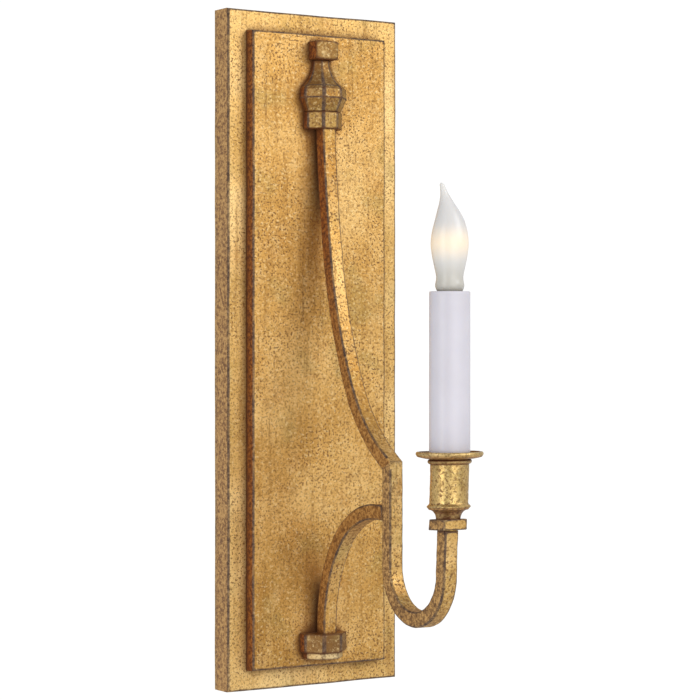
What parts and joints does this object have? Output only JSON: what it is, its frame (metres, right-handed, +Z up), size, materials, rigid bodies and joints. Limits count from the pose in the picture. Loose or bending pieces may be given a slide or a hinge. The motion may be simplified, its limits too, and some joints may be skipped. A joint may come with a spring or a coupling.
{
  "type": "wall sconce candle holder",
  "caption": "Tall gilded iron wall sconce: framed back plate, curved square-bar arm with a hook foot, and a cup with drip dish holding a candle sleeve and flame-tip lamp.",
  "frame": {"origin": "on the wall plane, at the middle of the back plate's height and width", "axes": "+X to the right seen from the room, +Y into the wall, +Z up; the sconce stands out from the wall towards -Y"},
  "size_m": [0.134, 0.2027, 0.4572],
  "materials": {
    "gilt_iron": "hand-forged iron with rubbed gold leaf",
    "zinc_steel": "zinc plated",
    "brass": "satin",
    "green_screw": "green lacquer",
    "phenolic": "moulded phenolic",
    "fibre": "brown fibre tube",
    "black_wire": "wire insulation",
    "white_wire": "wire insulation",
    "green_wire": "wire insulation",
    "bushing": "moulded",
    "orange_cap": "moulded wire connector",
    "sleeve_white": "satin white candle sleeve",
    "frosted_glass": "frosted",
    "stem_glass": "clear",
    "filament": "coiled tungsten",
    "nickel": "nickel plated",
    "base_black": "glass insulator",
    "tip_metal": "soldered"
  },
  "bodies": {
    "wall_bracket": {"wall_strap": "zinc_steel", "cross_strap": "zinc_steel", "strap_rivets": "zinc_steel", "hanging_screws": "zinc_steel", "hanging_locknuts": "zinc_steel", "box_ground_screw": "green_screw"},
    "fixture": {"back_pan": "gilt_iron", "raised_panel": "gilt_iron", "hanger_plate": "zinc_steel", "finial_cap": "gilt_iron", "finial_body": "gilt_iron", "finial_collar": "gilt_iron", "finial_screws": "zinc_steel", "upper_arm": "gilt_iron", "hook_arm": "gilt_iron", "lower_brace": "gilt_iron", "foot_block": "gilt_iron", "foot_step": "gilt_iron", "foot_screws": "zinc_steel", "cup_collar": "gilt_iron", "candle_cup": "gilt_iron", "bobeche": "gilt_iron", "threaded_nipple": "brass", "lock_washer": "zinc_steel", "nipple_locknut": "brass", "socket_hickey": "zinc_steel", "hickey_screw": "zinc_steel", "socket_body": "phenolic", "socket_liner": "fibre", "socket_shell": "brass", "socket_contact": "brass", "terminal_rivets": "brass", "lead_hot": "black_wire", "lead_neutral": "white_wire", "wire_bushing": "bushing", "wire_connectors": "orange_cap", "ground_screw": "green_screw", "ground_wire": "green_wire"},
    "sleeve": {"candle_sleeve": "sleeve_white"},
    "bulb_contact": {"bulb_tip_contact": "tip_metal"},
    "bulb": {"bulb_glass": "frosted_glass", "bulb_stem": "stem_glass", "bulb_filament": "filament", "bulb_supports": "zinc_steel", "bulb_base_shell": "nickel", "bulb_insulator": "base_black"}
  },
  "joints": [
    {"name": "fixture_lift", "type": "slide", "parent": "wall_bracket", "child": "fixture", "axis": [0, 0, 1], "range_m": [0, 0.01]},
    {"name": "sleeve_lift", "type": "slide", "parent": "fixture", "child": "sleeve", "axis": [0, 0, 1], "range_m": [0, 0.02]},
    {"name": "bulb_lift", "type": "slide", "parent": "fixture", "child": "bulb_contact", "axis": [0, 0, 1], "range_m": [0, 0.01653]},
    {"name": "bulb_turn", "type": "hinge", "parent": "bulb_contact", "child": "bulb", "pos_m": [0, -0.1814, 0.06], "axis": [0, 0, 1], "range_deg": [0, 2340]}
  ],
  "couplings": [
    {"joint": "bulb_lift", "follows": "bulb_turn", "m_per_rad": 0.00040425}
  ]
}
